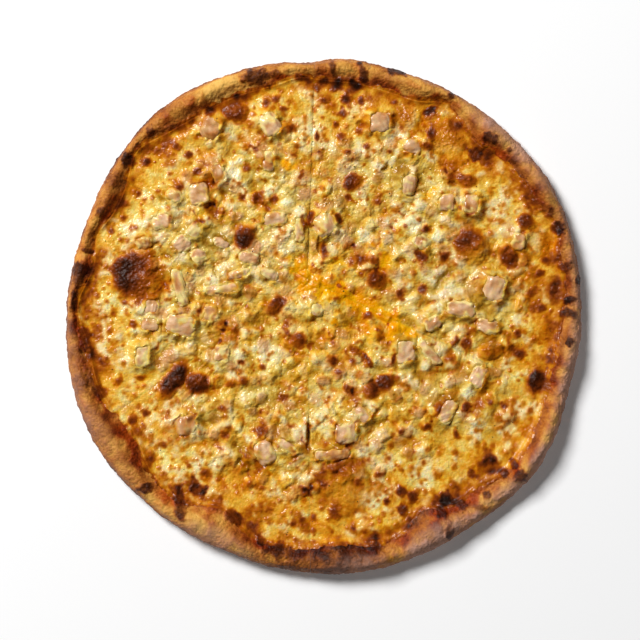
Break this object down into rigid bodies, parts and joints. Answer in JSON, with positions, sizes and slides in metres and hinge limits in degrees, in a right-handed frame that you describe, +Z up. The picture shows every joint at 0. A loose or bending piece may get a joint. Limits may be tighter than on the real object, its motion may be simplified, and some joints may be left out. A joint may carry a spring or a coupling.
{
  "type": "buffalo chicken pizza",
  "caption": "Round thin-crust pizza cut into slices that still lie together: a puffed, browned rim, melted cheese over hot sauce and diced chicken, to rest flat.",
  "frame": {"origin": "centre of the underside, where the pizza rests; x and y at the middle of its outline", "axes": "+Z up through the pizza; +Y towards the side that is at the top of the picture, +X towards its right"},
  "size_m": [0.304, 0.3034, 0.0172],
  "materials": {
    "dough": "baked crust, golden to dark brown, matt with a faint oily sheen",
    "cheese": "melted cheese over hot sauce, cream to golden, browned on its bubbles, oily",
    "chicken": "cooked diced chicken, pale tan, edges browned, thinly coated with cheese and oil"
  },
  "bodies": {
    "root": {"dough_1": "dough", "dough_2": "dough", "dough_3": "dough", "dough_4": "dough", "dough_5": "dough", "dough_6": "dough", "cheese_1": "cheese", "cheese_2": "cheese", "cheese_3": "cheese", "cheese_4": "cheese", "cheese_5": "cheese", "cheese_6": "cheese", "chicken_01": "chicken", "chicken_02": "chicken", "chicken_03": "chicken", "chicken_04": "chicken", "chicken_05": "chicken", "chicken_06": "chicken", "chicken_07": "chicken", "chicken_08": "chicken", "chicken_09": "chicken", "chicken_10": "chicken", "chicken_11": "chicken", "chicken_12": "chicken", "chicken_13": "chicken", "chicken_14": "chicken", "chicken_15": "chicken", "chicken_16": "chicken", "chicken_17": "chicken", "chicken_18": "chicken", "chicken_19": "chicken", "chicken_20": "chicken", "chicken_21": "chicken", "chicken_22": "chicken", "chicken_23": "chicken", "chicken_24": "chicken", "chicken_25": "chicken", "chicken_26": "chicken", "chicken_27": "chicken", "chicken_28": "chicken", "chicken_29": "chicken", "chicken_30": "chicken", "chicken_31": "chicken", "chicken_32": "chicken", "chicken_33": "chicken", "chicken_34": "chicken", "chicken_35": "chicken", "chicken_36": "chicken", "chicken_37": "chicken", "chicken_38": "chicken", "chicken_39": "chicken", "chicken_40": "chicken", "chicken_41": "chicken", "chicken_42": "chicken", "chicken_43": "chicken", "chicken_44": "chicken", "chicken_45": "chicken", "chicken_46": "chicken", "chicken_47": "chicken", "chicken_48": "chicken"}
  },
  "joints": []
}
